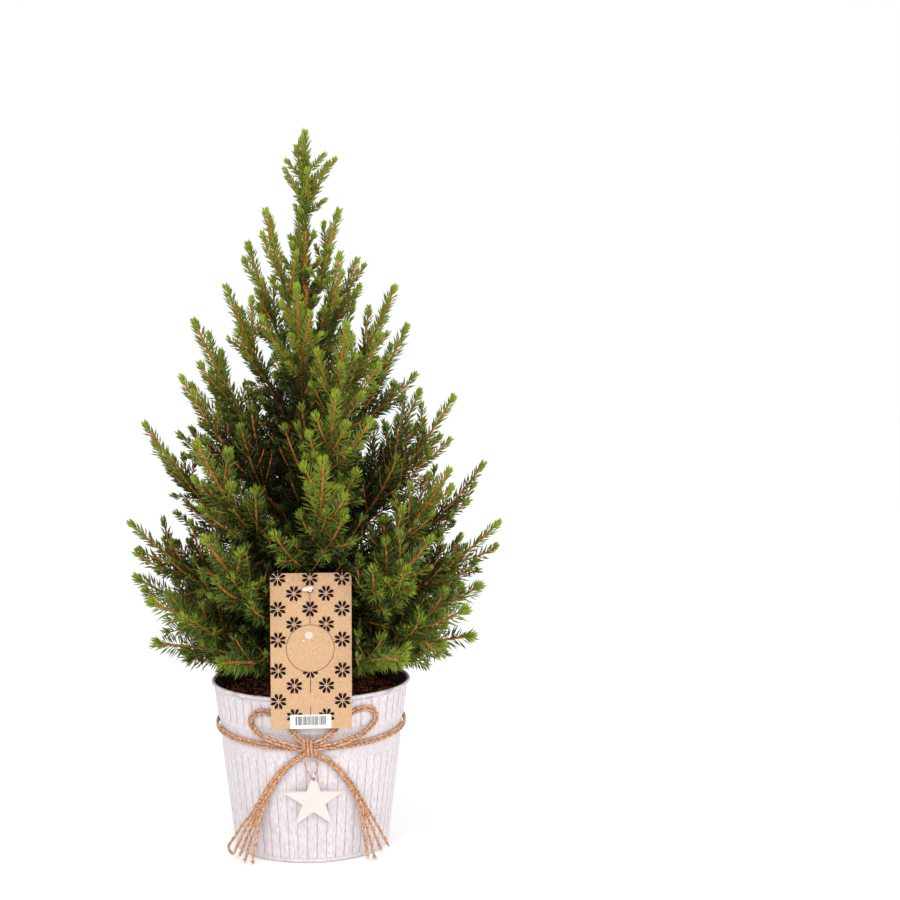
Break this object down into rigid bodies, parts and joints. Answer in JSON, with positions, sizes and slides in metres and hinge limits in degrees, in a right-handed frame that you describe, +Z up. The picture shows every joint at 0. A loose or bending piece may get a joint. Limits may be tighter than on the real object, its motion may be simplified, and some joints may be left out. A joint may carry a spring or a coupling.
{
  "type": "potted dwarf spruce",
  "caption": "Small cone-shaped dwarf spruce in a ribbed, whitewashed zinc pot tied with a jute bow, with a wooden star and a card tag.",
  "frame": {"origin": "centre of the pot's flat underside", "axes": "+Z up along the pot's axis and the trunk; the tag, the bow and the star face -Y; +X to the viewer's right"},
  "size_m": [0.2705, 0.2576, 0.508],
  "materials": {
    "whitewashed_zinc": "thin white wash over galvanised sheet, matt, with grey-lilac rubbed lines between the ribs and worn dark patches on the rim",
    "potting_soil": "dark peat with red-brown bark and coir crumbs",
    "bark": "thin scaly grey-brown bark, orange-brown on young wood",
    "needles": "mid to deep green needles with a soft sheen, bright lime green at the shoot tips",
    "jute_twine": "natural jute of two twisted plies, hairy and matt",
    "painted_wood": "cream-white painted plywood, matt",
    "kraft_card": "kraft card with a printed pattern of black eight-petal stars, matt",
    "white_plastic": "moulded white plastic, satin"
  },
  "bodies": {
    "root": {"bough_2_1": "bark", "bough_2_2": "bark", "bough_2_3": "bark", "bough_2_4": "bark", "bough_2_5": "bark", "bough_3_1": "bark", "bough_3_2": "bark", "bough_3_3": "bark", "bough_3_4": "bark", "bough_3_5": "bark", "foliage_1_1": "needles", "foliage_1_2": "needles", "foliage_1_3": "needles", "foliage_1_4": "needles", "foliage_1_5": "needles", "foliage_1_6": "needles", "foliage_2_1": "needles", "foliage_2_2": "needles", "foliage_2_3": "needles", "foliage_2_4": "needles", "foliage_2_5": "needles", "foliage_3_1": "needles", "foliage_3_2": "needles", "foliage_3_3": "needles", "foliage_3_4": "needles", "foliage_3_5": "needles", "foliage_4_1": "needles", "foliage_4_2": "needles", "foliage_4_3": "needles", "foliage_4_4": "needles", "foliage_4_5": "needles", "foliage_5_1": "needles", "foliage_5_2": "needles", "foliage_5_3": "needles", "foliage_5_4": "needles", "foliage_5_5": "needles", "foliage_6_1": "needles", "foliage_6_2": "needles", "foliage_6_3": "needles", "foliage_6_4": "needles", "foliage_7_1": "needles", "foliage_7_2": "needles", "foliage_7_3": "needles", "foliage_7_4": "needles", "foliage_8_1": "needles", "foliage_8_2": "needles", "foliage_8_3": "needles", "foliage_9_1": "needles", "foliage_9_2": "needles", "foliage_9_3": "needles", "foliage_leader": "needles", "pot": "whitewashed_zinc", "soil": "potting_soil", "star": "painted_wood", "star_cord": "jute_twine", "tag": "kraft_card", "tag_stake": "white_plastic", "trunk": "bark", "twine_bow": "jute_twine", "twine_ring": "jute_twine"}
  },
  "joints": []
}
